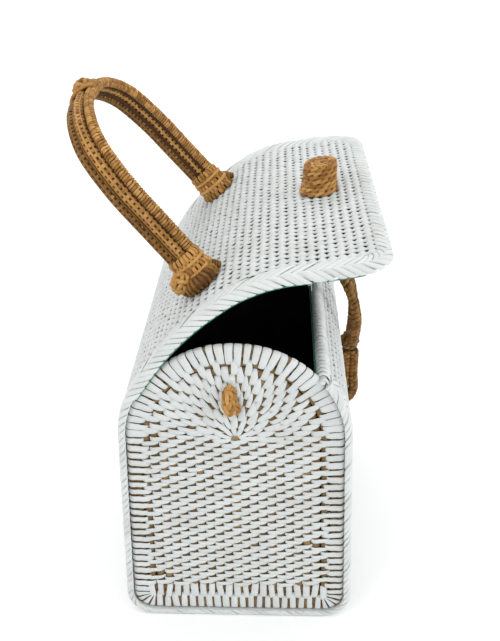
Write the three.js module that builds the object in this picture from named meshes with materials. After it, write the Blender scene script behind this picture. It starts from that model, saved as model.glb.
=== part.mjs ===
// A small handbag woven from whitewashed rattan, shaped like a barn with a round top.
// One long woven sheet runs up the front, under the base, up the back and over the top as
// the lid. Two flat end panels close it. The lid bends round five stiff woven panels.
//
// Millimetres. X is the length, -Y the front (toggle and loop), +Z up.
// The origin is the centre of the flat underside. The lid stands ajar.

import * as THREE from "three";

// Overall sizes
const HALF_LENGTH = 115;
const SHEET_THICK = 4;
const SPRING_Z = 143.5; // height where the side walls turn into the round top
const ARCH_RADIUS = 64; // inner face of the sheet round the top
const BASE_HALF = 68.7; // half the inner width at the base
const CORNER_RADIUS = 14;
const BRAID_WIDTH = 12;
const GAP = 0.3; // clearance between pieces that touch
const CLOTH_GAP = 0.4; // clearance between the lining and the woven walls

// Where the front wall ends and where the lid starts, as angles round the arch
const RIM_ANGLE = 143;
const FOLD_ANGLE = 37;
const FOLD_TRIM = 0.9;

const RIM_ROD_RADIUS = 2.5;

// End panels, set between the edges of the sheet
const PANEL_OUTER_X = 113.5;
const PANEL_THICK = 4;
const PANEL_CLEARANCE = 0.5;
const PANEL_RIM_WIDTH = 10;
const PANEL_RIM_PROUD = 0.3; // outside
const PANEL_RIM_DEEP = 0.2; // inside

// Cloth lining
const LINING_THICK = 0.8;
const LINING_HALF = 107.5;
const END_LINING_X = 108;
const END_LINING_INSET = 1.5;

// The lid, from the back fold to the lip. Each panel is an arc that turns by some degrees,
// after a small step in direction from the panel before it.
const LID_START_HEADING = 120;
const LID_PANELS = [
  { length: 36, turn: 14, step: 0 },
  { length: 38, turn: 12, step: 0 },
  { length: 34, turn: 22, step: 2 },
  { length: 32, turn: -2, step: 2 },
  { length: 22, turn: -6, step: -1 },
];
const FLEX_TRIM = 0.5;
const HANDLE_PANEL = 1;
const TOGGLE_PANEL = 3;

// Handle: three strands side by side, on the outside of one lid panel
const STRAND_RADIUS = 3.1;
const STRAND_SPACING = 6.5;
const STRAND_PROUD = 1.4; // the middle strand stands out from its two neighbours
const LEG_PROUD_SHARE = 0.8; // share of that on the legs
const HANDLE_HEIGHT = 115;
const STRAND_LEG = [
  [70.3, 11.5],
  [68.5, 40],
  [65.5, 72],
  [55.5, 95],
  [35, 109],
]; // half of a strand: distance from the middle, height
const FOOT_X = 73;
const FOOT_PROFILE = [
  [0, 0.6],
  [13, 0.6],
  [13, 3],
  [11, 6],
  [10.4, 11],
  [0, 11],
]; // radius, height

// Rings that bind the strands, at the feet and at the crown
const BINDING_HALF_X = 6.1;
const BINDING_HALF_Y = 10.8;
const BINDING_THICK = 1.6;
const BINDING_WIDTH = 6;
const BINDING_LEAN = 4;
const BINDING_INSET = 2.6; // towards the middle from the foot
const BINDING_Z = 13.5;
const CROWN_THICK = 1.4;
const CROWN_WIDTH = 12;

// Toggle: a stub with a flared sleeve and a cap
const TOGGLE_FORWARD = 3.5; // towards the lip from the middle of its panel
const TOGGLE_CORE_RADIUS = 7;
const TOGGLE_RADIUS = 11;
const TOGGLE_FOOT_RADIUS = 12.4;
const TOGGLE_SEAT = 0.5;
const TOGGLE_TOP = 16.5;
const TOGGLE_FLARE = [2.5, 6.5]; // heights where the flare starts and ends
const CAP_PROFILE = [
  [0, 0],
  [10.6, 0],
  [9.6, 2.2],
  [5, 3],
  [0, 3],
]; // radius, height

// Closure loop, as half of its curve, and the knot and tail below it
const LOOP_RADIUS = 3.2;
const LOOP_HALF = [
  [8, -75.5, 146],
  [12, -76.8, 158],
  [15.5, -76.5, 173],
  [14.5, -73, 187],
  [9.5, -67.5, 198],
];
const LOOP_APEX = [0, -64.5, 203];
const KNOT_CENTRE = [0, -74.6, 144.6];
const KNOT_RADII = [4.4, 5.6, 6.8];
const TAIL_RADIUS = 2.5;
const TAIL_TOP_Z = 137;
const TAIL_MIDDLE_Z = 118;
const TAIL_BEND_Z = 99;
const TAIL_INNER_Y = -72.8;
const TAIL_OUTER_Y = -78.1;

// Small woven knot on each end panel
const END_KNOT = { y: 2.3, z: 172.8, width: 9, height: 22, depth: 4.5 };

// Facets
const ARCH_STEPS = 24;
const WALL_ARC_STEPS = 7;
const CORNER_STEPS = 6;
const PANEL_STEPS = 6;
const CORD_SIDES = 10;
const CORD_STEPS = 48;
const TAIL_STEPS = 36;
const TAIL_BEND_STEPS = 6;
const ROUND_SEGMENTS = 24;

const SHEET_HALF = HALF_LENGTH - BRAID_WIDTH - GAP;
const SIDES = [
  ["left", -1],
  ["right", 1],
];

const rad = THREE.MathUtils.degToRad;
const deg = THREE.MathUtils.radToDeg;
const toVector2 = ([x, y]) => new THREE.Vector2(x, y);
const toVector3 = ([x, y, z]) => new THREE.Vector3(x, y, z);

// ---------------------------------------------------------------- materials

const rattan = (color, roughness) => new THREE.MeshStandardMaterial({ color, roughness, metalness: 0 });
const whiteWeave = () => rattan(0xdfe2e0, 0.75);
const whiteBraid = () => rattan(0xe6e8e6, 0.7);
const brownCane = () => rattan(0xa9743a, 0.65);
const darkCane = () => rattan(0x8a5a2c, 0.65);
const blackCloth = () => rattan(0x0c0d0d, 0.95);

// ---------------------------------------------------------------- outlines in the Y-Z plane

function arc(centreY, centreZ, radius, fromDegrees, toDegrees, steps) {
  const points = [];
  for (let i = 0; i <= steps; i += 1) {
    const angle = rad(fromDegrees + ((toDegrees - fromDegrees) * i) / steps);
    points.push(new THREE.Vector2(centreY + radius * Math.cos(angle), centreZ + radius * Math.sin(angle)));
  }
  return points;
}

// Moves an open path sideways, to the right of its direction of travel.
function offset(path, distance) {
  return path.map((point, i) => {
    const before = path[Math.max(i - 1, 0)];
    const after = path[Math.min(i + 1, path.length - 1)];
    const along = after.clone().sub(before).normalize();
    return new THREE.Vector2(point.x + along.y * distance, point.y - along.x * distance);
  });
}

// The strip between two offsets of a path, as a closed outline.
function band(path, inner, outer) {
  return [...offset(path, outer), ...offset(path, inner).reverse()];
}

// The inner face of the sheet. All paths run front, base, back, top, so outside is on the right.
const CORNER_Z = SHEET_THICK + CORNER_RADIUS;
const CORNER_Y = BASE_HALF - CORNER_RADIUS;
const BASE_SPLIT_Y = CORNER_Y - 1;

function frontPath() {
  return [
    ...arc(0, SPRING_Z, ARCH_RADIUS, RIM_ANGLE, 180, WALL_ARC_STEPS),
    ...arc(-CORNER_Y, CORNER_Z, CORNER_RADIUS, 180, 270, CORNER_STEPS),
    new THREE.Vector2(-BASE_SPLIT_Y, SHEET_THICK),
  ];
}

function basePath() {
  const half = BASE_SPLIT_Y - GAP;
  return [new THREE.Vector2(-half, SHEET_THICK), new THREE.Vector2(half, SHEET_THICK)];
}

function backPath() {
  const trim = deg(FOLD_TRIM / ARCH_RADIUS);
  return [
    new THREE.Vector2(BASE_SPLIT_Y, SHEET_THICK),
    ...arc(CORNER_Y, CORNER_Z, CORNER_RADIUS, 270, 360, CORNER_STEPS),
    ...arc(0, SPRING_Z, ARCH_RADIUS, 0, FOLD_ANGLE - trim, WALL_ARC_STEPS),
  ];
}

// The whole section as one closed loop, moved inwards by inset.
function sectionOutline(inset) {
  const corner = CORNER_RADIUS - inset;
  return [
    ...arc(-CORNER_Y, CORNER_Z, corner, 180, 270, CORNER_STEPS),
    ...arc(CORNER_Y, CORNER_Z, corner, 270, 360, CORNER_STEPS),
    ...arc(0, SPRING_Z, ARCH_RADIUS - inset, 0, 180, ARCH_STEPS),
  ];
}

// ---------------------------------------------------------------- solids

// Extrudes a Y-Z outline along X, with a hole through it if one is given.
function prism(outline, fromX, toX, hole) {
  const shape = new THREE.Shape(outline);
  if (hole) {
    shape.holes.push(new THREE.Path(hole));
  }
  const geometry = new THREE.ExtrudeGeometry(shape, { depth: toX - fromX, bevelEnabled: false, steps: 1 });
  const turn = new THREE.Matrix4().makeBasis(
    new THREE.Vector3(0, 1, 0),
    new THREE.Vector3(0, 0, 1),
    new THREE.Vector3(1, 0, 0),
  );
  geometry.applyMatrix4(turn);
  geometry.translate(fromX, 0, 0);
  return geometry;
}

// A prism between two distances from the middle, on one side of it.
function sidePrism(outline, sign, nearX, farX, hole) {
  return sign < 0 ? prism(outline, -farX, -nearX, hole) : prism(outline, nearX, farX, hole);
}

// A tube of round section along a curve, closed at both ends.
function tube(curve, radius, steps) {
  const circle = new THREE.EllipseCurve(0, 0, radius, radius).getPoints(CORD_SIDES).slice(0, -1);
  return new THREE.ExtrudeGeometry(new THREE.Shape(circle), { extrudePath: curve, steps, bevelEnabled: false });
}

// A solid of revolution round local Z from [radius, height] pairs.
function lathe(profile) {
  const geometry = new THREE.LatheGeometry(profile.map(toVector2), ROUND_SEGMENTS);
  geometry.rotateX(Math.PI / 2);
  return geometry;
}

function ellipsoid(radii, centre) {
  const geometry = new THREE.SphereGeometry(1, 14, 10);
  geometry.scale(...radii);
  geometry.translate(...centre);
  return geometry;
}

// ---------------------------------------------------------------- the lid's chain of arcs

// Each panel gets its path, trimmed for the bends, and the point and heading at an arc length.
function lidPanels() {
  let heading = LID_START_HEADING;
  const [first] = arc(0, SPRING_Z, ARCH_RADIUS, FOLD_ANGLE, FOLD_ANGLE, 1);
  let start = first;
  return LID_PANELS.map(({ length, turn, step }, index) => {
    const origin = start;
    const firstHeading = heading + step;
    const headingAt = (arcLength) => firstHeading + (turn * arcLength) / length;
    const at = (arcLength) => {
      const half = rad(headingAt(arcLength) - firstHeading) / 2;
      const chord = half === 0 ? arcLength : (arcLength * Math.sin(half)) / half;
      const middle = rad(firstHeading) + half;
      return new THREE.Vector2(origin.x + chord * Math.cos(middle), origin.y + chord * Math.sin(middle));
    };
    const from = index === 0 ? FOLD_TRIM : FLEX_TRIM;
    const to = index === LID_PANELS.length - 1 ? length : length - FLEX_TRIM;
    const path = [];
    for (let i = 0; i <= PANEL_STEPS; i += 1) {
      path.push(at(from + ((to - from) * i) / PANEL_STEPS));
    }
    heading = headingAt(length);
    start = at(length);
    return { length, path, at, headingAt };
  });
}

// A frame on the outside of a lid panel: local Z is the panel's outward normal.
function standOn(panel, forward) {
  const arcLength = panel.length / 2 + forward;
  const point = panel.at(arcLength);
  const normal = rad(panel.headingAt(arcLength) - 90);
  const group = new THREE.Group();
  group.position.set(0, point.x + SHEET_THICK * Math.cos(normal), point.y + SHEET_THICK * Math.sin(normal));
  group.rotation.x = normal - Math.PI / 2;
  return group;
}

// ---------------------------------------------------------------- body

const bag = new THREE.Group();

function add(name, geometry, material, parent = bag) {
  const mesh = new THREE.Mesh(geometry, material);
  mesh.name = name;
  parent.add(mesh);
  return mesh;
}

function addWalls() {
  const walls = [
    ["front_wall", "front", frontPath()],
    ["bottom_panel", "base", basePath()],
    ["back_wall", "back", backPath()],
  ];
  for (const [name, place, path] of walls) {
    const outline = band(path, 0, SHEET_THICK);
    add(name, prism(outline, -SHEET_HALF, SHEET_HALF), whiteWeave());
    for (const [side, sign] of SIDES) {
      const braid = sidePrism(outline, sign, HALF_LENGTH - BRAID_WIDTH, HALF_LENGTH);
      add(`edge_braid_${place}_${side}`, braid, whiteBraid());
    }
  }
}

function addRimRod() {
  const beyond = RIM_ROD_RADIUS + CLOTH_GAP;
  const radius = ARCH_RADIUS + SHEET_THICK / 2;
  const angle = rad(RIM_ANGLE) - beyond / radius;
  const rod = new THREE.CylinderGeometry(RIM_ROD_RADIUS, RIM_ROD_RADIUS, 2 * HALF_LENGTH, ROUND_SEGMENTS);
  rod.rotateZ(Math.PI / 2);
  rod.translate(0, radius * Math.cos(angle), SPRING_Z + radius * Math.sin(angle));
  add("front_rim_rod", rod, whiteBraid());
}

function addEndPanels() {
  const innerX = PANEL_OUTER_X - PANEL_THICK;
  const field = sectionOutline(PANEL_CLEARANCE + PANEL_RIM_WIDTH + GAP);
  const rimOutline = sectionOutline(PANEL_CLEARANCE);
  const rimHole = sectionOutline(PANEL_CLEARANCE + PANEL_RIM_WIDTH);
  const rimInnerX = innerX - PANEL_RIM_DEEP;
  const rimOuterX = PANEL_OUTER_X + PANEL_RIM_PROUD;
  const knotX = PANEL_OUTER_X + END_KNOT.depth / 2 + GAP;
  const knotRadii = [END_KNOT.depth / 2, END_KNOT.width / 2, END_KNOT.height / 2];
  for (const [side, sign] of SIDES) {
    add(`end_panel_${side}`, sidePrism(field, sign, innerX, PANEL_OUTER_X), whiteWeave());
    add(`end_rim_${side}`, sidePrism(rimOutline, sign, rimInnerX, rimOuterX, rimHole), whiteBraid());
    add(`end_knot_${side}`, ellipsoid(knotRadii, [sign * knotX, END_KNOT.y, END_KNOT.z]), brownCane());
  }
}

function addLining() {
  const cloth = band([...frontPath(), ...backPath()], -CLOTH_GAP - LINING_THICK, -CLOTH_GAP);
  add("lining_body", prism(cloth, -LINING_HALF, LINING_HALF), blackCloth());
  const outline = sectionOutline(END_LINING_INSET);
  for (const [side, sign] of SIDES) {
    const panel = sidePrism(outline, sign, END_LINING_X, END_LINING_X + LINING_THICK);
    add(`lining_end_${side}`, panel, blackCloth());
  }
}

// ---------------------------------------------------------------- lid

// Part of a panel's path between two arc lengths.
function pathBetween(panel, from, to) {
  return [from, (from + to) / 2, to].map(panel.at);
}

function addLidPanels(panels) {
  panels.forEach((panel, index) => {
    const number = index + 1;
    const last = number === panels.length;
    const outline = band(panel.path, 0, SHEET_THICK);
    for (const [side, sign] of SIDES) {
      const braid = sidePrism(outline, sign, HALF_LENGTH - BRAID_WIDTH, HALF_LENGTH);
      add(`lid_braid_${side}_${number}`, braid, whiteBraid());
    }
    const weaveEnd = panel.length - BRAID_WIDTH - GAP;
    const path = last ? pathBetween(panel, FLEX_TRIM, weaveEnd) : panel.path;
    add(`lid_panel_${number}`, prism(band(path, 0, SHEET_THICK), -SHEET_HALF, SHEET_HALF), whiteWeave());
    const cloth = band(panel.path, -GAP - LINING_THICK, -GAP);
    add(`lid_lining_${number}`, prism(cloth, -LINING_HALF, LINING_HALF), blackCloth());
  });
  const lip = panels[panels.length - 1];
  const lipPath = pathBetween(lip, lip.length - BRAID_WIDTH, lip.length);
  add("lip_braid", prism(band(lipPath, 0, SHEET_THICK), -SHEET_HALF, SHEET_HALF), whiteBraid());
}

// ---------------------------------------------------------------- handle

// One strand of the handle. Its place across the handle is y, and proud lifts it off the arch.
function strandCurve(y, proud) {
  const left = STRAND_LEG.map(([x, z]) => {
    const height = z + (proud * z) / HANDLE_HEIGHT;
    return new THREE.Vector3(-x - proud * LEG_PROUD_SHARE, y, height);
  });
  const right = left.map((point) => new THREE.Vector3(-point.x, y, point.z)).reverse();
  return new THREE.CatmullRomCurve3([...left, new THREE.Vector3(0, y, HANDLE_HEIGHT + proud), ...right]);
}

// A flat elliptical ring that binds the strands.
function binding(thick, width) {
  const ellipse = (grow) => {
    const curve = new THREE.EllipseCurve(0, 0, BINDING_HALF_X + grow, BINDING_HALF_Y + grow);
    return curve.getPoints(ROUND_SEGMENTS).slice(0, -1);
  };
  const shape = new THREE.Shape(ellipse(thick));
  shape.holes.push(new THREE.Path(ellipse(0)));
  return new THREE.ExtrudeGeometry(shape, { depth: width, bevelEnabled: false, steps: 1 });
}

function addHandle(panel) {
  const stand = standOn(panel, 0);
  bag.add(stand);
  const strands = [
    ["rear", STRAND_SPACING, 0],
    ["middle", 0, STRAND_PROUD],
    ["front", -STRAND_SPACING, 0],
  ];
  for (const [place, y, proud] of strands) {
    const strand = tube(strandCurve(y, proud), STRAND_RADIUS, CORD_STEPS);
    add(`handle_strand_${place}`, strand, brownCane(), stand);
  }
  for (const [side, sign] of SIDES) {
    const foot = add(`handle_foot_${side}`, lathe(FOOT_PROFILE), darkCane(), stand);
    foot.position.x = sign * FOOT_X;
    const ring = add(`handle_binding_${side}`, binding(BINDING_THICK, BINDING_WIDTH), darkCane(), stand);
    ring.position.set(sign * (FOOT_X - BINDING_INSET), 0, BINDING_Z);
    ring.rotation.y = -sign * rad(BINDING_LEAN);
  }
  const crown = add("handle_binding_crown", binding(CROWN_THICK, CROWN_WIDTH), darkCane(), stand);
  crown.rotation.y = Math.PI / 2;
  crown.position.set(-CROWN_WIDTH / 2, 0, HANDLE_HEIGHT + STRAND_PROUD / 2);
}

// ---------------------------------------------------------------- toggle

function addToggle(panel) {
  const stand = standOn(panel, TOGGLE_FORWARD);
  bag.add(stand);
  const core = [
    [0, TOGGLE_SEAT],
    [TOGGLE_CORE_RADIUS, TOGGLE_SEAT],
    [TOGGLE_CORE_RADIUS, TOGGLE_TOP],
    [0, TOGGLE_TOP],
  ];
  add("toggle_core", lathe(core), darkCane(), stand);
  const inner = TOGGLE_CORE_RADIUS + GAP;
  const [flareStart, flareEnd] = TOGGLE_FLARE;
  const sleeve = [
    [inner, TOGGLE_SEAT],
    [TOGGLE_FOOT_RADIUS, TOGGLE_SEAT],
    [TOGGLE_FOOT_RADIUS, flareStart],
    [TOGGLE_RADIUS, flareEnd],
    [TOGGLE_RADIUS, TOGGLE_TOP],
    [inner, TOGGLE_TOP],
    [inner, TOGGLE_SEAT],
  ];
  add("toggle_sleeve", lathe(sleeve), brownCane(), stand);
  const cap = add("toggle_cap", lathe(CAP_PROFILE), brownCane(), stand);
  cap.position.z = TOGGLE_TOP + GAP;
}

// ---------------------------------------------------------------- closure loop

function loopCurve() {
  const left = LOOP_HALF.map(([x, y, z]) => new THREE.Vector3(-x, y, z));
  const right = LOOP_HALF.map(toVector3).reverse();
  return new THREE.CatmullRomCurve3([...left, toVector3(LOOP_APEX), ...right]);
}

// The tail hangs as a narrow U in the Y-Z plane.
function tailCurve() {
  const middle = (TAIL_INNER_Y + TAIL_OUTER_Y) / 2;
  const radius = (TAIL_INNER_Y - TAIL_OUTER_Y) / 2;
  const bend = arc(middle, TAIL_BEND_Z, radius, 180, 360, TAIL_BEND_STEPS);
  const points = [
    [0, TAIL_OUTER_Y, TAIL_TOP_Z],
    [0, TAIL_OUTER_Y, TAIL_MIDDLE_Z],
    ...bend.map((point) => [0, point.x, point.y]),
    [0, TAIL_INNER_Y, TAIL_MIDDLE_Z],
    [0, TAIL_INNER_Y, TAIL_TOP_Z],
  ];
  return new THREE.CatmullRomCurve3(points.map(toVector3), false, "centripetal");
}

function addLoop() {
  add("closure_loop", tube(loopCurve(), LOOP_RADIUS, CORD_STEPS), brownCane());
  add("loop_knot", ellipsoid(KNOT_RADII, KNOT_CENTRE), darkCane());
  add("loop_tail", tube(tailCurve(), TAIL_RADIUS, TAIL_STEPS), brownCane());
}

// ---------------------------------------------------------------- assembly

addWalls();
addRimRod();
addEndPanels();
addLining();
const panels = lidPanels();
addLidPanels(panels);
addHandle(panels[HANDLE_PANEL]);
addToggle(panels[TOGGLE_PANEL]);
addLoop();

export default bag;
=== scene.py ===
"""A small whitewashed rattan handbag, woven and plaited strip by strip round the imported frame.

Lengths are in millimetres until a mesh is made. Angles are in degrees along the sheet and round the
ends, and in radians round a cord, a ring or the toggle.
X is the bag's length, -Y its front and +Z up. One long woven sheet makes the front, base, back and
lid. Distances along it are measured from the back fold: positive over the lid to its lip, negative
down the back, under the base and up the front to the rim.
"""

import math

import bpy
import numpy as np
from mathutils import Matrix, Vector


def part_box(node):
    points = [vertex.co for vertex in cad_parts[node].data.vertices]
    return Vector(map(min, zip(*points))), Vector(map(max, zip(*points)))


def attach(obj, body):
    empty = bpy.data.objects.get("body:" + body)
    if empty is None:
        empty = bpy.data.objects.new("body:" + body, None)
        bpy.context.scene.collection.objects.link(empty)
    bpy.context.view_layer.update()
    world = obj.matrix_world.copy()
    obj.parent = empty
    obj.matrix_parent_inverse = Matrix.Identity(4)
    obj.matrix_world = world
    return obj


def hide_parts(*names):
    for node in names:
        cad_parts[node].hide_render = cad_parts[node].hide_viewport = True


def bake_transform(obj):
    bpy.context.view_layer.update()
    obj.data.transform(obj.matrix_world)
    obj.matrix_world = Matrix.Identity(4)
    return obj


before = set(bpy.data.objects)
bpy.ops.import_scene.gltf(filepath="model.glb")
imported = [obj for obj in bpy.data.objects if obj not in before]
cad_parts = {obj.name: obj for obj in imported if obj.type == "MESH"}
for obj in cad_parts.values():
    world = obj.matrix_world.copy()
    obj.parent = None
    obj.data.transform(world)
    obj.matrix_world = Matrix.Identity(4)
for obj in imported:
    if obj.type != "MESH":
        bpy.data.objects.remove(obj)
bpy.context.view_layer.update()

MM = 0.001
SIDES = {"left": -1, "right": 1}
random = np.random.default_rng(11)

# ---------------- driving sizes

HALF_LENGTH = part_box("edge_braid_front_right")[1].x / MM
SHEET_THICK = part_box("bottom_panel")[1].z / MM
BRAID_WIDTH = HALF_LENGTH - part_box("edge_braid_front_right")[0].x / MM
SPRING_Z = 143.5
ARCH_RADIUS = 64.0
BASE_HALF = 68.7
CORNER_RADIUS = 14.0
RIM_ANGLE = 143.0
FOLD_ANGLE = 37.0
LID_LENGTHS = (36.0, 38.0, 34.0, 32.0, 22.0)
LID_TURNS = (14.0, 12.0, 22.0, -2.0, -6.0)
LID_STEPS = (-7.0, 0.0, 2.0, 2.0, -1.0)
LID_LENGTH = sum(LID_LENGTHS)

ROD_PITCH = 5.35
ROD_HALF = 2.35
ROD_RISE = 1.5
ROD_DEPTH = 1.7
STRIP_THICK = 0.7
PLAIT_PITCH = 5.2


# ---------------- curves and surfaces


def spread_out(*arrays):
    return np.broadcast_arrays(*[np.asarray(a, float) for a in arrays])


def unit(vectors):
    return vectors / np.maximum(np.linalg.norm(vectors, axis=-1, keepdims=True), 1e-9)


def full_turn(count):
    """Even angles round a circle, in radians."""
    return np.linspace(0, 2 * math.pi, count, endpoint=False)


def ripple(shares, points):
    """Values along a strip, read at even shares from a few named points."""
    return np.interp(shares, np.linspace(0, 1, len(points)), points)


def jitter(size, count):
    """A column of small random errors, one for each strip."""
    return random.normal(0, size, (count, 1))


def travelled(points):
    """The distance along a line of points at each of them."""
    return np.concatenate(([0], np.cumsum(np.linalg.norm(np.diff(points, axis=0), axis=1))))


class Outline:
    """A curve in the Y-Z plane made of moves (length, turn, step): it steps aside by an angle, then
    runs that length while it turns. Called with (t, x, h) it gives the point t along it, x across
    and h out of it, to the right of its direction."""

    def __init__(self, start, heading, moves, first=0.0, soften=3.0, spacing=0.4):
        ts, headings, t = [], [], first
        for length, turn, step in moves:
            heading += step
            count = max(2, math.ceil(length / spacing))
            shares = (np.arange(count) + 0.5) / count
            ts.append(t + shares * length)
            headings.append(heading + shares * turn)
            heading += turn
            t += length
        middles = np.concatenate(ts)
        angles = np.radians(np.concatenate(headings))
        self.last = t
        self.t = np.concatenate(([first], (middles[1:] + middles[:-1]) / 2, [t]))
        steps = np.diff(self.t)[:, None] * np.stack((np.cos(angles), np.sin(angles)), 1)
        self.points = np.vstack(([start], np.array(start) + np.cumsum(steps, 0)))
        self.even = np.arange(first, t, spacing)
        window = np.ones(max(1, int(2 * soften / spacing)))
        padded = np.pad(np.interp(self.even, middles, angles), len(window), mode="edge")
        self.angles = np.convolve(padded, window / len(window), "same")[len(window):-len(window)]

    def __call__(self, t, x, h):
        t, x, h = spread_out(t, x, h)
        angle = np.interp(t, self.even, self.angles)
        y = np.interp(t, self.t, self.points[:, 0]) + h * np.sin(angle)
        z = np.interp(t, self.t, self.points[:, 1]) - h * np.cos(angle)
        return np.stack((x, y, z), -1)


def around(centre, radius, angle):
    """A point at an angle round a centre in the Y-Z plane."""
    angle = math.radians(angle)
    return centre[0] + radius * math.cos(angle), centre[1] + radius * math.sin(angle)


SIDE_RISE = SPRING_Z - SHEET_THICK - CORNER_RADIUS
SIDE_LENGTH = math.hypot(SIDE_RISE, BASE_HALF - ARCH_RADIUS)
SIDE_LEAN = math.degrees(math.atan2(BASE_HALF - ARCH_RADIUS, SIDE_RISE))
BASE_LENGTH = 2 * (BASE_HALF - CORNER_RADIUS)

# The moves that the sheet and the end panels' outline share.
SIDE_DOWN = (SIDE_LENGTH, 0.0, -SIDE_LEAN)
CORNER_AFTER_SIDE = (CORNER_RADIUS * math.pi / 2, 90.0, SIDE_LEAN)
CORNER_AFTER_BASE = (CORNER_RADIUS * math.pi / 2, 90.0, 0.0)
SIDE_UP = (SIDE_LENGTH, 0.0, SIDE_LEAN)

BODY_MOVES = [
    (ARCH_RADIUS * math.radians(180 - RIM_ANGLE), 180 - RIM_ANGLE, 0.0),
    SIDE_DOWN,
    CORNER_AFTER_SIDE,
    (BASE_LENGTH, 0.0, 0.0),
    CORNER_AFTER_BASE,
    SIDE_UP,
    (ARCH_RADIUS * math.radians(FOLD_ANGLE), FOLD_ANGLE, -SIDE_LEAN),
]
RIM_S = -sum(move[0] for move in BODY_MOVES)
LID_MOVES = list(zip(LID_LENGTHS, LID_TURNS, LID_STEPS))
sheet = Outline(
    around((0, SPRING_Z), ARCH_RADIUS, RIM_ANGLE), RIM_ANGLE + 90, BODY_MOVES + LID_MOVES, first=RIM_S
)

# The closed outline of an end panel, from the middle of the base round by the back.
END_MOVES = [
    (BASE_LENGTH / 2, 0.0, 0.0),
    CORNER_AFTER_BASE,
    SIDE_UP,
    (ARCH_RADIUS * math.pi, 180.0, -SIDE_LEAN),
    SIDE_DOWN,
    CORNER_AFTER_SIDE,
    (BASE_LENGTH / 2, 0.0, 0.0),
]
end_outline = Outline((0.0, SHEET_THICK), 0.0, END_MOVES)


class Cord:
    """A smooth curve through points in space. Called with (t, angle, r) it gives the point t along
    it, and r from it at an angle in radians measured from the reference direction."""

    POINTS = 400

    def __init__(self, points, reference):
        points = np.array(points, float)
        u = travelled(points)
        slopes = np.gradient(points, u, axis=0)
        fine = np.linspace(0, u[-1], self.POINTS)
        place = np.clip(np.searchsorted(u, fine, side="right") - 1, 0, len(u) - 2)
        span = (u[place + 1] - u[place])[:, None]
        v = (fine[:, None] - u[place][:, None]) / span
        self.points = (
            (2 * v**3 - 3 * v**2 + 1) * points[place]
            + (v**3 - 2 * v**2 + v) * slopes[place] * span
            + (3 * v**2 - 2 * v**3) * points[place + 1]
            + (v**3 - v**2) * slopes[place + 1] * span
        )
        self.t = travelled(self.points)
        self.length = self.t[-1]
        self.side, self.other = square_to(self.points, reference)

    def _at(self, t, table):
        return np.stack([np.interp(t, self.t, table[:, axis]) for axis in range(3)], -1)

    def __call__(self, t, angle, r):
        t, angle, r = spread_out(t, angle, r)
        outward = np.cos(angle)[..., None] * self._at(t, self.side)
        outward = outward + np.sin(angle)[..., None] * self._at(t, self.other)
        return self._at(t, self.points) + r[..., None] * outward


def square_to(line, reference):
    """Two directions square to a line at each of its points, the first towards the reference."""
    tangents = unit(np.gradient(line, axis=0))
    reference = np.array(reference, float)
    side = unit(reference - (tangents @ reference)[:, None] * tangents)
    return side, np.cross(tangents, side)


class Stand:
    """A frame to build on: local X is the bag's length and local Z the outward direction given."""

    def __init__(self, origin, outward):
        self.origin = origin
        self.z = outward
        self.y = np.array((0.0, self.z[2], -self.z[1]))

    def __call__(self, x, y, z):
        x, y, z = spread_out(x, y, z)
        across = np.stack((x, np.zeros_like(x), np.zeros_like(x)), -1)
        return self.origin + across + y[..., None] * self.y + z[..., None] * self.z


def lid_stand(s):
    """A stand on the lid's outer face at distance s along the sheet."""
    origin = sheet(s, 0, SHEET_THICK)
    return Stand(origin, sheet(s, 0, SHEET_THICK + 1) - origin)


UPRIGHT = Stand(np.zeros(3), np.array((0.0, 0.0, 1.0)))


# ---------------- mesh making

# The rounded section of a strip: how far across, how far up its thickness.
STRIP_SECTION = ((-1, 0.3), (-0.8, 0.86), (0, 1), (0.8, 0.86), (1, 0.3), (0, -0.7))
# The weave under the base is pressed flat this far above the floor.
PRESSED_FLAT = 0.05
SHARP_ANGLE = 50.0
# Strands start at random distances up to this, so that their fibres differ.
STRAND_SHIFT = 97


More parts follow.
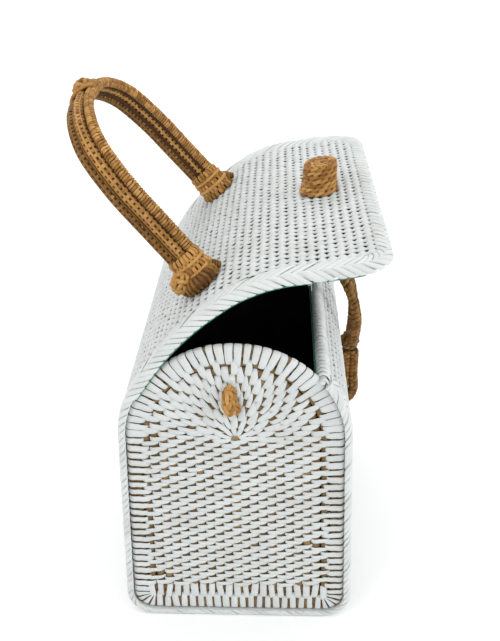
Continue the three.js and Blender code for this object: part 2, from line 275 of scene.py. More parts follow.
class Work:
    """Strips, tubes and sweeps gathered for one mesh. Every point carries its place on its strand
    (along, across) and the strand's tint, which the materials read."""

    def __init__(self):
        self.points, self.faces, self.strand, self.count = [], [], [], 0

    def grid(self, points, strand):
        """points is (copies, stations, round, 3): a closed loop of points at each station."""
        copies, stations, loop, _ = points.shape
        base = self.count + np.arange(copies)[:, None, None] * stations * loop
        i = np.arange(stations - 1)[None, :, None] * loop
        j = np.arange(loop)[None, None, :]
        after = (j + 1) % loop
        quads = [base + i + j, base + i + loop + j, base + i + loop + after, base + i + after]
        self.faces.append(np.stack(quads, -1).reshape(-1, 4))
        for k in range(1, loop // 2):
            corners = np.array((k - 1, k, loop - 1 - k, loop - k))
            self.faces.append(base[:, :, 0] + corners)
            self.faces.append(base[:, :, 0] + (stations - 1) * loop + corners[::-1])
        self.points.append(points.reshape(-1, 3))
        self.strand.append(strand.reshape(-1, 3))
        self.count += copies * stations * loop

    def strips(self, surface, a, b, h, low, high, spread=(0, 1), thick=STRIP_THICK, tint=None):
        """Flat strips whose middle runs through surface(a, b, h), each array (strips, stations).
        low and high are how far the two edges reach along the spread direction."""
        a, b, h, low, high = spread_out(a, b, h, low, high)
        middle = surface(a, b, h)
        below = surface(a - spread[0] * low, b - spread[1] * low, h)
        above = surface(a + spread[0] * high, b + spread[1] * high, h)
        up = unit(np.cross(np.gradient(middle, axis=1), above - below))
        out = surface(a, b, h + 1) - middle
        flip = (np.sum(up * out, (1, 2)) < 0)[:, None, None]
        below, above = np.where(flip, above, below), np.where(flip, below, above)
        up = np.where(flip, -up, up)
        ring = []
        for across, rise in STRIP_SECTION:
            edge = below if across < 0 else above
            ring.append(middle + abs(across) * (edge - middle) + rise * thick * up)
        points = np.stack(ring, 2)
        copies, stations = a.shape
        tint = random.random((copies, 1)) if tint is None else tint
        steps = np.linalg.norm(np.diff(middle, axis=1), axis=-1)
        distance = np.concatenate((np.zeros((copies, 1)), np.cumsum(steps, 1)), 1)
        distance = distance + STRAND_SHIFT * random.random((copies, 1))
        width = np.linalg.norm(above - below, axis=-1)[:, :, None] / 2
        strand = np.zeros(points.shape)
        strand[..., 0] = distance[:, :, None]
        strand[..., 1] = width * np.array([across for across, _ in STRIP_SECTION])
        strand[..., 2] = np.broadcast_to(tint, (copies, stations))[:, :, None]
        self.grid(points, strand)

    def sweep(self, surface, stations, profile, tint=0.5):
        """A closed profile of (b, h) points carried along a surface's first coordinate."""
        b, h = np.array(profile, float).T[:, None, :]
        self.loops(surface(np.asarray(stations, float)[:, None], b, h), tint)

    def tube(self, centres, radius, reference=(0, 1, 0.01), sides=8, tint=0.5):
        """A round tube through the centres, with one radius or one for each centre."""
        side, other = square_to(centres, reference)
        angles = full_turn(sides)[None, :, None]
        radius = np.broadcast_to(radius, len(centres))[:, None, None]
        outward = np.cos(angles) * side[:, None] + np.sin(angles) * other[:, None]
        self.loops(centres[:, None] + radius * outward, tint)

    def loops(self, points, tint=0.5):
        """One solid through closed loops of points, (stations, round, 3)."""
        points = facing_out(points)[None]
        strand = np.zeros(points.shape)
        steps = np.linalg.norm(np.diff(points[:, :, 0], axis=1), axis=-1)
        strand[:, 1:, :, 0] = np.cumsum(steps, 1)[:, :, None]
        strand[..., 0] += STRAND_SHIFT * random.random()
        strand[..., 2] = tint
        self.grid(points, strand)

    def mesh(self, name, material):
        points = np.concatenate(self.points) * MM
        points[:, 2] = np.maximum(points[:, 2], PRESSED_FLAT * MM)
        faces = np.concatenate(self.faces)
        data = bpy.data.meshes.new(name)
        data.vertices.add(len(points))
        data.vertices.foreach_set("co", points.astype(np.float32).ravel())
        data.loops.add(faces.size)
        data.loops.foreach_set("vertex_index", faces.astype(np.int32).ravel())
        data.polygons.add(len(faces))
        data.polygons.foreach_set("loop_start", np.arange(0, faces.size, 4, dtype=np.int32))
        data.update(calc_edges=True)
        data.validate()
        attribute = data.attributes.new("strand", "FLOAT_VECTOR", "POINT")
        attribute.data.foreach_set("vector", np.concatenate(self.strand).astype(np.float32).ravel())
        data.shade_smooth()
        data.set_sharp_from_angle(angle=math.radians(SHARP_ANGLE))
        data.materials.append(material)
        piece = bpy.data.objects.new(name, data)
        bpy.context.scene.collection.objects.link(piece)
        return piece


def facing_out(loops):
    """Loops of points, (stations, round, 3), ordered so that the faces of Work.grid look outwards."""
    middle = loops.mean((0, 1))
    a, b = loops[:-1] - middle, loops[1:] - middle
    volume = np.sum(a * np.cross(b, np.roll(b, -1, axis=1)))
    return loops[:, ::-1] if volume < 0 else loops


# ---------------- materials

# How finely the fibres vary along a strand, across it and from one tint to another.
FIBRE_SCALE = (0.35, 4.5, 3.0)
CLOTH_THREADS = 1500.0


def begin_material(name):
    material = bpy.data.materials.new(name)
    material.use_nodes = True
    tree = material.node_tree
    return material, tree, tree.nodes["Principled BSDF"]


def mix_colours(tree, share, first, second):
    node = tree.nodes.new("ShaderNodeMix")
    node.data_type = "RGBA"
    tree.links.new(share, node.inputs["Factor"])
    for value, socket in ((first, node.inputs["A"]), (second, node.inputs["B"])):
        if isinstance(value, tuple):
            socket.default_value = (*value, 1.0)
        else:
            tree.links.new(value, socket)
    return node.outputs["Result"]


def ranged(tree, value, low, high, to_low=0.0, to_high=1.0):
    node = tree.nodes.new("ShaderNodeMapRange")
    tree.links.new(value, node.inputs["Value"])
    for name, number in (("From Min", low), ("From Max", high), ("To Min", to_low), ("To Max", to_high)):
        node.inputs[name].default_value = number
    return node.outputs["Result"]


def noise(tree, vector, scale, detail):
    node = tree.nodes.new("ShaderNodeTexNoise")
    node.inputs["Scale"].default_value = scale
    node.inputs["Detail"].default_value = detail
    tree.links.new(vector, node.inputs["Vector"])
    return node.outputs["Fac"]


def add_bump(tree, shader, height, strength, distance):
    bump = tree.nodes.new("ShaderNodeBump")
    bump.inputs["Strength"].default_value = strength
    bump.inputs["Distance"].default_value = distance * MM
    tree.links.new(height, bump.inputs["Height"])
    tree.links.new(bump.outputs["Normal"], shader.inputs["Normal"])


def strand_material(name, base, pale, dark, wear, roughness, wear_from=0.64):
    """Split cane: fibres run along each strand, strands differ in tint, and wear shows the cane."""
    material, tree, shader = begin_material(name)
    attribute = tree.nodes.new("ShaderNodeAttribute")
    attribute.attribute_name = "strand"
    parts = tree.nodes.new("ShaderNodeSeparateXYZ")
    tree.links.new(attribute.outputs["Vector"], parts.inputs["Vector"])
    stretch = tree.nodes.new("ShaderNodeVectorMath")
    stretch.operation = "MULTIPLY"
    stretch.inputs[1].default_value = FIBRE_SCALE
    tree.links.new(attribute.outputs["Vector"], stretch.inputs[0])
    fibres = noise(tree, stretch.outputs["Vector"], 1.0, 4.0)
    place = tree.nodes.new("ShaderNodeTexCoord").outputs["Object"]
    stains = noise(tree, place, 320.0, 5.0)
    clouds = noise(tree, place, 45.0, 2.0)

    toned = mix_colours(tree, parts.outputs["Z"], base, pale)
    streaked = mix_colours(tree, ranged(tree, fibres, 0.52, 0.75, 0.0, 0.5), toned, dark)
    clouded = mix_colours(tree, ranged(tree, clouds, 0.45, 0.75, 0.0, 0.3), streaked, dark)
    worn = mix_colours(tree, ranged(tree, stains, wear_from, wear_from + 0.08, 0.0, 0.8), clouded, wear)
    tree.links.new(worn, shader.inputs["Base Color"])
    rough = ranged(tree, fibres, 0.3, 0.7, roughness - 0.08, roughness + 0.08)
    tree.links.new(rough, shader.inputs["Roughness"])
    shader.inputs["Specular IOR Level"].default_value = 0.25
    add_bump(tree, shader, fibres, 0.25, 0.3)
    return material


def cloth_material(name, base, pale, roughness):
    """Plain woven cloth: two crossed sets of threads, and a little dust."""
    material, tree, shader = begin_material(name)
    place = tree.nodes.new("ShaderNodeTexCoord").outputs["Object"]
    weave = tree.nodes.new("ShaderNodeMath")
    weave.operation = "MULTIPLY"
    for socket, direction in zip(weave.inputs, ("X", "Z")):
        wave = tree.nodes.new("ShaderNodeTexWave")
        wave.bands_direction = direction
        wave.inputs["Scale"].default_value = CLOTH_THREADS
        wave.inputs["Distortion"].default_value = 0.6
        tree.links.new(place, wave.inputs["Vector"])
        tree.links.new(wave.outputs["Fac"], socket)
    dust = noise(tree, place, 120.0, 6.0)
    shade = mix_colours(tree, weave.outputs["Value"], base, pale)
    dusty = mix_colours(tree, ranged(tree, dust, 0.6, 0.8, 0.0, 0.25), shade, pale)
    tree.links.new(dusty, shader.inputs["Base Color"])
    shader.inputs["Roughness"].default_value = roughness
    shader.inputs["Sheen Weight"].default_value = 0.05
    add_bump(tree, shader, weave.outputs["Value"], 0.3, 0.2)
    return material


WHITE = strand_material(
    "whitewashed_strip",
    base=(0.57, 0.6, 0.6),
    pale=(0.63, 0.66, 0.66),
    dark=(0.47, 0.47, 0.42),
    wear=(0.34, 0.26, 0.14),
    roughness=0.62,
    wear_from=0.72,
)
WHITE_PLAIT = strand_material(
    "whitewashed_plait",
    base=(0.6, 0.635, 0.63),
    pale=(0.67, 0.7, 0.695),
    dark=(0.46, 0.46, 0.42),
    wear=(0.45, 0.38, 0.28),
    roughness=0.6,
    wear_from=0.74,
)
ROD = strand_material(
    "brown_rod",
    base=(0.17, 0.105, 0.042),
    pale=(0.3, 0.2, 0.085),
    dark=(0.08, 0.048, 0.02),
    wear=(0.42, 0.34, 0.22),
    roughness=0.6,
)
CANE = strand_material(
    "ochre_cane",
    base=(0.25, 0.105, 0.018),
    pale=(0.56, 0.305, 0.092),
    dark=(0.1, 0.04, 0.007),
    wear=(0.56, 0.38, 0.15),
    roughness=0.58,
    wear_from=0.66,
)
DARK_CANE = strand_material(
    "dark_cane",
    base=(0.13, 0.053, 0.01),
    pale=(0.29, 0.145, 0.032),
    dark=(0.055, 0.02, 0.005),
    wear=(0.42, 0.25, 0.09),
    roughness=0.56,
)
# Painted shade: a near-black brown for the cores and seams that show only between stitches, where shade
# falls.
PAINTED_SHADE_CORE = strand_material(
    "shaded_core",
    base=(0.05, 0.022, 0.007),
    pale=(0.075, 0.034, 0.011),
    dark=(0.024, 0.011, 0.004),
    wear=(0.1, 0.05, 0.02),
    roughness=0.8,
)
LINING = cloth_material("black_lining", (0.018, 0.021, 0.021), (0.035, 0.04, 0.04), 0.95)
THREAD = strand_material(
    "green_thread",
    base=(0.015, 0.12, 0.075),
    pale=(0.1, 0.33, 0.22),
    dark=(0.007, 0.05, 0.03),
    wear=(0.25, 0.42, 0.33),
    roughness=0.7,
)

# ---------------- riding on the frame

JOINT_S = np.concatenate(([0.0], np.cumsum(LID_LENGTHS[:-1])))
BEND_REACH = 7.0
# Each lid skin crosses one joint and meets the next in the middle of a stiff panel.
LID_CUTS = (-10.0, 18.0, 55.0, 91.0, 124.0, LID_LENGTH)
# Every stretch of skin: its name, the body it rides on or the lid joint it crosses (see finish), and where
# it starts and ends.
SEGMENTS = [("body", "body", RIM_S, LID_CUTS[0])]
SEGMENTS += [(f"lid_{k + 1}", k, *cuts) for k, cuts in enumerate(zip(LID_CUTS[:-1], LID_CUTS[1:]))]


def bend_over_joint(piece, index):
    """Leaves a skin piece that crosses one of the lid's joints in place, with its transform baked in."""
    start = sheet(JOINT_S[index] - BEND_REACH, 0, 0) * MM
    end = sheet(JOINT_S[index] + BEND_REACH, 0, 0) * MM
    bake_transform(piece)


def finish(work, name, material, slot, ride, *nodes):
    """Makes the piece. It rides on the body named, or, given a lid joint's number, stays in place with its
    transform baked in.
    """
    piece = work.mesh(name, material)
    if isinstance(ride, str):
        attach(piece, ride)
    else:
        bend_over_joint(piece, ride)
    if nodes:
        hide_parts(*nodes)
    return piece


# ---------------- the woven sheet

WALLS = ("front_wall", "bottom_panel", "back_wall")
SHEET_HALF = HALF_LENGTH - BRAID_WIDTH + 0.5
LIP_WIDTH = 6.8
STRIP_COUNT = 37
STRIP_PITCH = 2 * SHEET_HALF / STRIP_COUNT
STRIP_OVERLAP = 0.04
STRIP_HEIGHT = 3.1
STRIP_CREST = 0.5
NOTCH_REACH = 1.95
NOTCH_SKEW = 0.7
ROD_COUNT = int((LID_LENGTH - RIM_S) / ROD_PITCH)
STATIONS_PER_ROD = 8
# One row of random numbers for each crossing of a strip and a rod.
crossings = random.random((5, STRIP_COUNT, ROD_COUNT + 2))
SKEWS, LOW_NOTCHES, HIGH_NOTCHES, LIFTS, TINTS = crossings
drift = np.cumsum(random.normal(0, 0.12, ROD_COUNT + 2))
drift = drift - np.linspace(drift[0], drift[-1], len(drift))


def weave_sheet(s_from, s_to):
    """Whitewashed strips along the sheet, drawn in where they dip between two rods."""
    s = np.linspace(s_from, s_to, math.ceil((s_to - s_from) / ROD_PITCH * STATIONS_PER_ROD))
    rod = (s - RIM_S) / ROD_PITCH
    valley = np.clip(np.round(rod), 0, ROD_COUNT).astype(int)
    over = np.clip(np.floor(rod), 0, ROD_COUNT).astype(int)
    skew = (SKEWS[:, valley] - 0.5) * NOTCH_SKEW
    away = np.abs((rod - np.round(rod)) * ROD_PITCH - skew)
    notch = np.clip(1 - away / NOTCH_REACH, 0, 1)
    reach = STRIP_PITCH / 2 + STRIP_OVERLAP
    low = reach - notch * (1.2 + 1.3 * LOW_NOTCHES[:, valley])
    high = reach - notch * (0.5 + HIGH_NOTCHES[:, valley])
    crest = STRIP_CREST * np.cos(2 * math.pi * (rod - 0.5))
    x = -SHEET_HALF + (np.arange(STRIP_COUNT)[:, None] + 0.5) * STRIP_PITCH
    x = np.clip(x + np.interp(rod, np.arange(len(drift)), drift), -SHEET_HALF + 1, SHEET_HALF - 1)
    height = STRIP_HEIGHT + crest + 0.25 * (LIFTS[:, over] - 0.5) - 2.5 * beyond_corner(s, x)
    work = Work()
    work.strips(sheet, s, x, height, low, high, tint=TINTS[:, over])
    return work


def beyond_corner(s, x):
    """1 where a point of the sheet lies under the plait at a rounded corner of the lid's lip."""
    radius = np.where(x > 0, LIP_CORNERS["right"], LIP_CORNERS["left"])
    along = s - (LID_LENGTH - radius)
    across = np.abs(x) - (HALF_LENGTH - radius)
    turned = np.arctan2(np.maximum(along, 0), np.maximum(across, 1e-6)) / (math.pi / 2)
    width = BRAID_WIDTH + (LIP_WIDTH - BRAID_WIDTH) * turned
    outside = np.hypot(along, across) - (radius - width)
    return np.where((along > 0) & (across > 0), np.clip(outside, 0, 1), 0)


def rods_between(s_from, s_to):
    """Flat-sided rods along the bag's length, side by side under the strips."""
    work = Work()
    reach = SHEET_HALF + 1.5
    for k in range(ROD_COUNT):
        s = RIM_S + (k + 0.5) * ROD_PITCH
        if s_from <= s < s_to:
            ring = [
                (s + ROD_HALF * math.cos(a), ROD_DEPTH + ROD_RISE * math.sin(a)) for a in full_turn(12)
            ]
            stations = np.linspace(-reach, reach, 6)
            work.sweep(lambda x, along, h: sheet(along, x, h), stations, ring, random.random())
    return work


def build_sheet():
    for index, (part, ride, s_from, s_to) in enumerate(SEGMENTS):
        nodes = [f"lid_panel_{index}"] if index else WALLS
        if s_to == LID_LENGTH:
            s_to += 1 - LIP_WIDTH
        strips = weave_sheet(s_from, s_to)
        finish(strips, f"woven_strips_{part}", WHITE, "white_weave", ride, *nodes)
        finish(rods_between(s_from, s_to), f"woven_rods_{part}", ROD, "white_weave", ride)


# ---------------- plaited edges

# Sections of a plait: places from its inner edge to its outer edge, and heights out of the sheet.
PLAIT_CORE = ((0.4, 10.8, 12.0, 12.1, 10.9, 6, 1.2, 0.4), (1.0, 0.2, -0.6, 2.4, 3.7, 3.8, 3.3, 2.4))
OUTER_STROKE = ((11.7, 12.3, 12.6, 12.5, 12.0, 10.9, 9.6, 8.2), (-1.6, -1.1, 0.3, 1.6, 2.8, 3.6, 3.9, 2.9))
INNER_STROKE = ((-0.9, 0.3, 2.4, 4.8, 7.2, 9.4, 11.0), (1.9, 3.2, 3.7, 3.9, 4.0, 3.9, 2.8))
STROKE_ADVANCE = 12.5
STROKE_THICK = 0.65
PLAIT_FILL = 0.46
# No stroke reaches below these heights on the lid and on the body.
LID_LOWEST = -2.0
BODY_LOWEST = 0.3


def plait(surface, t_from, t_to, core_stations, lowest=LID_LOWEST):
    """A flat herringbone plait. Strokes slant forward from its inner side and from round its edge,
    and meet on the ridge."""
    work = Work()
    # The core under the strokes takes a low tint, a darker white as painted shade between them.
    work.sweep(surface, core_stations, [(c, max(h, lowest)) for c, h in zip(*PLAIT_CORE)], 0.2)
    first = math.ceil((t_from - RIM_S) / PLAIT_PITCH)
    beyond = math.ceil((t_to - RIM_S) / PLAIT_PITCH)
    shares = np.linspace(0, 1, 12)
    ends = np.clip(np.minimum(shares, 1 - shares) * 6 + 0.55, 0, 1)
    for stroke, shift in ((OUTER_STROKE, 0.0), (INNER_STROKE, 0.5)):
        starts = RIM_S + (np.arange(first, beyond) + shift) * PLAIT_PITCH
        starts = starts[(starts >= t_from) & (starts < t_to)]
        count = len(starts)
        c, h = (ripple(shares, values) for values in stroke)
        t = starts[:, None] + shares**1.3 * STROKE_ADVANCE + jitter(0.25, count)
        h = np.maximum(h + jitter(0.1, count), lowest)
        half = PLAIT_PITCH * PLAIT_FILL * (1 + jitter(0.07, count)) * ends
        t = np.minimum(t, 1 - RIM_S)
        work.strips(surface, t, c, h, half, half, spread=(1, 0), thick=STROKE_THICK)
    return work


def edge_surface(sign):
    """The sheet's edge on one side, as a plait surface. The plait runs up the right edge and,
    having gone round the lip, down the left edge."""
    return lambda t, c, h: sheet(t * sign, sign * (HALF_LENGTH - BRAID_WIDTH + c), h)


LIP_CORNERS = {"right": 36.0, "left": 15.0}
LIP_TURNS = {side: radius * math.pi / 2 for side, radius in LIP_CORNERS.items()}
LIP_ACROSS = 2 * HALF_LENGTH - sum(LIP_CORNERS.values())
LIP_SHARE = LIP_WIDTH / BRAID_WIDTH
LIP_RIDE = SEGMENTS[-1][1]
# The lip's plait starts at the last cut and ends there, having come back down the left side.
LIP_START = LID_CUTS[-2]
LIP_END = 2 * LID_LENGTH - LIP_START + LIP_ACROSS + sum(LIP_TURNS.values()) - sum(LIP_CORNERS.values())


def lip_surface(t, c, h):
    """The lid's last stretch of edge: up the right side, round a corner, along the lip and back.
    The plait narrows round the corners."""
    t, c, h = spread_out(t, c, h)
    near, far = LIP_CORNERS["left"], LIP_CORNERS["right"]
    bend = t - (LID_LENGTH - far)
    lip = bend - LIP_TURNS["right"]
    second = lip - LIP_ACROSS
    down = second - LIP_TURNS["left"]
    corners = np.cumsum((0, LIP_TURNS["right"], LIP_ACROSS, LIP_TURNS["left"]))
    inset = (BRAID_WIDTH - c) * np.interp(bend, corners, (1, LIP_SHARE, LIP_SHARE, 1))
    places = [
        (bend < 0, t, HALF_LENGTH - inset),
        (lip < 0, *rounded(far, inset, bend / far, 1)),
        (second < 0, LID_LENGTH - inset, HALF_LENGTH - far - lip),
        (down < 0, *rounded(near, inset, math.pi / 2 - second / near, -1)),
        (down >= 0, LID_LENGTH - near - down, -HALF_LENGTH + inset),
    ]
    conditions, along, across = zip(*places)
    return sheet(np.select(conditions, along), np.select(conditions, across), h)


def rounded(radius, inset, turn, sign):
    """A point round a corner of the lip: distance along the sheet, and place across it."""
    reach = radius - inset
    across = HALF_LENGTH - radius + reach * np.cos(turn)
    return LID_LENGTH - radius + reach * np.sin(turn), sign * across


def build_plaits():
    for index, (part, ride, s_from, s_to) in enumerate(SEGMENTS[:-1]):
        for side, sign in SIDES.items():
            t_from, t_to = sorted((s_from * sign, s_to * sign))
            stations = np.linspace(t_from, t_to, max(6, int((t_to - t_from) / 3)))
            if index == 0:
                lowest = BODY_LOWEST
                nodes = [f"edge_braid_{place}_{side}" for place in ("front", "base", "back")]
            else:
                lowest = LID_LOWEST
                nodes = [f"lid_braid_{side}_{index}"]
            work = plait(edge_surface(sign), t_from, t_to, stations, lowest)
            finish(work, f"plait_{part}_{side}", WHITE_PLAIT, "white_braid", ride, *nodes)
    work = plait(lip_surface, LIP_START, LIP_END, np.arange(LIP_START, LIP_END, 2.0))
    nodes = ("lip_braid", "lid_braid_left_5", "lid_braid_right_5")
    finish(work, "plait_lip", WHITE_PLAIT, "white_braid", LIP_RIDE, *nodes)


# ---------------- front rim

# The wrapping's height over the rod, from inside the bag over the top and down the wall.
RIM_HEIGHTS = (0.1, 0.2, 0.2, 0.2, 0.1, -0.1, -0.2, -1.2)
rim_low, rim_high = (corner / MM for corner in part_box("front_rim_rod"))
RIM_RADIUS = (rim_high.z - rim_low.z) / 2 + 0.2
RIM_CENTRE = ((rim_low.y + rim_high.y) / 2 + 1.1, (rim_low.z + rim_high.z) / 2 - 0.6)
RIM_CORE = RIM_RADIUS - 0.1
RIM_END_TAPER = 7.0
RIM_END_DROP = 2.2
RIM_PITCH = 4.0
RIM_FILL = 0.47
RIM_WRAP_START = -60.0
RIM_WRAP_TURN = RIM_ANGLE - RIM_WRAP_START
RIM_TAIL = 9.0


def rim_core(x, y, z):
    """The rim's rod, which thins at both ends under its wrapping."""
    x, y, z = spread_out(x, y, z)
    past = np.clip((np.abs(x) - HALF_LENGTH) / RIM_END_TAPER + 1, 0, 1)
    size = 1 - 0.5 * past
    return np.stack((x, RIM_CENTRE[0] + y * size, RIM_CENTRE[1] + z * size), -1)


def build_rim():
    """Strips wrapped over the rod in the front wall's top edge, with their tails down the wall."""
    start = around(RIM_CENTRE, RIM_CORE, RIM_WRAP_START)
    moves = [(RIM_CORE * math.radians(RIM_WRAP_TURN), RIM_WRAP_TURN, 0.0), (RIM_TAIL, 7.0, 0.0)]
    wrap = Outline(start, RIM_WRAP_START + 90, moves, soften=0.8, spacing=0.2)
    work = Work()
    straight = HALF_LENGTH - RIM_END_TAPER
    ring = [(RIM_CORE * math.cos(a), RIM_CORE * math.sin(a)) for a in full_turn(12)]
    work.sweep(rim_core, (-HALF_LENGTH, -HALF_LENGTH + 3, -straight, straight, HALF_LENGTH), ring, 0.4)
    count = int(2 * HALF_LENGTH / RIM_PITCH)
    shares = np.linspace(0, 1, 20)
    x = -HALF_LENGTH + (np.arange(count)[:, None] + 0.5) * RIM_PITCH + 1.6 * (shares - 0.5)
    x = np.clip(x + jitter(0.2, count), 1 - HALF_LENGTH, HALF_LENGTH - 1)
    past = np.clip((np.abs(x) - straight) / RIM_END_TAPER, 0, 1)
    height = ripple(shares, RIM_HEIGHTS) - RIM_END_DROP * past**2
    half = RIM_PITCH * RIM_FILL * (1 + jitter(0.06, count))
    work.strips(wrap, shares * wrap.last, x, height + jitter(0.08, count), half, half)
    finish(work, "front_rim_wrap", WHITE_PLAIT, "white_braid", "body", "front_rim_rod")


# ---------------- end panels

PANEL_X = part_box("end_panel_right")[0].x / MM
LEG_PITCH = 5.25
LEG_ROWS = 10
HOOPS = 13
HUB_RADIUS = 0.8
BASE_RODS = 4
BASE_ROD_REACH = 54
STITCH_PERIOD = 6.8
STITCH_SHIFT = 0.42
STITCH_HALF = 1.62
STITCH_RISE = 0.9
STITCH_STATIONS = 11
# A stitch covers its own rod and the next: how long it is, and how far before its rod it starts.
STITCH_SPAN = 1.98
STITCH_LEAD = 0.47
# Its second edge narrows from this share of its length, down to this share of its width.
STITCH_TAPER_FROM = 0.55
STITCH_TIP = 0.12
STITCHES_FROM = SHEET_THICK + 22
MISSING_SHARE = 0.008
# Height along a stitch from its square end to the end that tapers away behind the next one.
STITCH_HEIGHTS = (2.1, 3.35, 3.6, 3.55, 3.4, 3.5, 3.65, 3.55, 3.15, 2.2)
ARCH_PERIOD = 10.5
ARCH_FILL = 0.2585
TAPER = (BASE_HALF / ARCH_RADIUS - 1) / SIDE_RISE


def leg_surface(sign):
    """q runs from the middle towards the front, z up. The legs splay towards the base."""

    def place(q, z, h):
        q, z, h = spread_out(q, z, h)
        return np.stack((sign * (PANEL_X + h), -q * (1 + TAPER * (SPRING_Z - z)), z), -1)

    return place


def arch_surface(sign):
    """r from the arch's centre, and an angle in degrees from the back over the top."""

    def place(r, angle, h):
        r, angle, h = spread_out(r, angle, h)
        turned = np.radians(angle)
        y, z = r * np.cos(turned), SPRING_Z + r * np.sin(turned)
        return np.stack((sign * (PANEL_X + h), y, z), -1)

    return place


def end_rods(sign):
    """Flat-sided rods bent into hoops, one inside the other, and level rods along the base."""
    legs, arch = leg_surface(sign), arch_surface(sign)
    z_values = np.linspace(SHEET_THICK + 3, SPRING_Z, 16)
    lines = []
    for k in range(HOOPS):
        r = np.clip(k * LEG_PITCH, HUB_RADIUS, ARCH_RADIUS - ROD_HALF - 0.4)
        up, down = legs(-r, z_values, 0), legs(r, z_values[::-1], 0)
        lines.append(np.concatenate((up[:-1], arch(r, np.linspace(0, 180, 48), 0), down[1:])))
    for k in range(BASE_RODS):
        z = SHEET_THICK + 1.5 + k * LEG_PITCH
        lines.append(legs(np.linspace(-BASE_ROD_REACH, BASE_ROD_REACH, 16), z, -0.4))
    work = Work()
    angles = full_turn(12)[None, :, None]
    outward = np.array((sign, 0.0, 0.0))
    for line in lines:
        side = unit(np.cross(np.gradient(line, axis=0), outward))[:, None]
        ring = ROD_HALF * np.cos(angles) * side + (ROD_DEPTH + ROD_RISE * np.sin(angles)) * outward
        work.loops(line[:, None] + ring, random.random())
    return work


def stitch_shape(count, half):
    """Shares along stitches, how far each share reaches, its height and its two half widths, from
    the square end. The second edge tapers."""
    shares = np.linspace(0, 1, STITCH_STATIONS)
    heights = ripple(shares, STITCH_HEIGHTS) + jitter(0.08, count)
    tapered = np.clip((1 - shares) / (1 - STITCH_TAPER_FROM), 0, 1) ** 0.8
    whole = half * (1 + jitter(0.05, count))
    keen = whole * (STITCH_TIP + (1 - STITCH_TIP) * tapered)
    reach = (shares * STITCH_SPAN - STITCH_LEAD) * LEG_PITCH
    return shares, reach, heights, whole, keen


def leg_stitches(work, sign):
    """Level stitches over pairs of upright rods, each column a little higher than the last."""
    places = []
    for column in range(-LEG_ROWS, LEG_ROWS):
        start = STITCHES_FROM + (STITCH_PERIOD * STITCH_SHIFT * column) % STITCH_PERIOD
        levels = np.arange(start, SPRING_Z + 1, STITCH_PERIOD)
        places += [(column * LEG_PITCH, level) for level in levels]
    places = np.array(places)
    places = places[random.random(len(places)) > MISSING_SHARE]
    count = len(places)
    shares, reach, heights, whole, keen = stitch_shape(count, STITCH_HALF)
    along = places[:, :1] + reach + jitter(0.12, count)
    slope = jitter(0.35, count) - STITCH_RISE * sign
    level = places[:, 1:] + jitter(0.16, count) + slope * (shares - 0.5)
    work.strips(leg_surface(sign), along, level, heights, keen, whole)


def arch_stitches(work, sign):
    """Radial stitches over pairs of hoops. Fewer of them reach in towards the centre."""
    for column in range(1, LEG_ROWS):
        r = column * LEG_PITCH
        period = ARCH_PERIOD * (1 if column > 4 else 2 if column > 1 else 3)
        turns = np.arange(4 - (STITCH_SHIFT * column % 1) * period, 179, period)
        turns = turns[turns > 1]
        for forward in (True, False):
            chosen = turns[(turns > 90) == forward][:, None]
            count = len(chosen)
            if count == 0:
                continue
            room = ARCH_FILL * math.radians(period) * (r + LEG_PITCH)
            half = min(STITCH_HALF * 1.25, room)
            _, reach, heights, whole, keen = stitch_shape(count, half)
            reach = r + reach if forward else r + LEG_PITCH - reach
            reach = np.maximum(reach + jitter(0.15, count), HUB_RADIUS)
            to_degrees = np.degrees(1 / np.maximum(reach, 5.0))
            low, high = (whole, keen) if forward else (keen, whole)
            angle = chosen + jitter(0.35, count)
            work.strips(arch_surface(sign), reach, angle, heights, low * to_degrees, high * to_degrees)


# How far in from the outline and how far out of the panel a band stitch runs.
BAND_INSETS = (11.8, 10.8, 8.4, 5.4, 3.4, 1.6, 0.6, 0.7)
BAND_HEIGHTS = (2.2, 3.3, 3.8, 3.5, 3.75, 3.5, 2.4, 0.8)
BAND_PITCH = 5.5
BASE_ROW_PITCH = BAND_PITCH * 0.95
BASE_ROW_FILL = 0.36
BASE_ROW_Z = (9.6, 21.6)
BASE_ROW_HEIGHTS = (2.2, 3.5, 3.8, 3.5, 3.7, 3.6, 2.2)


def band_stitches(work, sign):
    """Short strips square to the panel's outline, folded over its edge."""

    def place(t, inset, h):
        t, inset, h = spread_out(t, inset, h)
        return end_outline(t, sign * (PANEL_X + h), -inset)

    count = round(end_outline.last / BAND_PITCH)
    order = np.arange(count)[:, None]
    t = (order + 0.5) * end_outline.last / count
    shares = np.linspace(0, 1, 14)
    reach = 1 + 0.1 * (order % 2) + jitter(0.08, count)
    inset = np.maximum(ripple(shares, BAND_INSETS) * reach, 0.5)
    heights = ripple(shares, BAND_HEIGHTS) + jitter(0.1, count)
    on_arch = end_outline(t, 0, 0)[..., 2] > SPRING_Z - 8
    half = BAND_PITCH * (0.35 + 0.07 * on_arch) * (1 + jitter(0.09, count))
    half = half * (0.82 + 0.18 * np.clip(shares * 3, 0, 1))
    lean = jitter(0.6, count) * (shares - 0.5)
    work.strips(place, t + lean, inset, heights, half, half, spread=(1, 0))


def base_row_stitches(work, sign):
    """A second row of short upright strips above the base's own."""
    reach = BASE_LENGTH / 2 - 2
    places = np.arange(-reach, reach, BASE_ROW_PITCH)[:, None]
    count = len(places)
    shares = np.linspace(0, 1, STITCH_STATIONS)
    z = SHEET_THICK + ripple(shares, BASE_ROW_Z) + jitter(0.5, count)
    heights = ripple(shares, BASE_ROW_HEIGHTS) + jitter(0.12, count)
    q = places + jitter(0.8, count) * (shares - 0.5)
    half = BASE_ROW_PITCH * BASE_ROW_FILL * (1 + jitter(0.1, count))
    upright = leg_surface(sign)
    work.strips(lambda z, q, h: upright(q, z, h), z, q, heights, half, half)


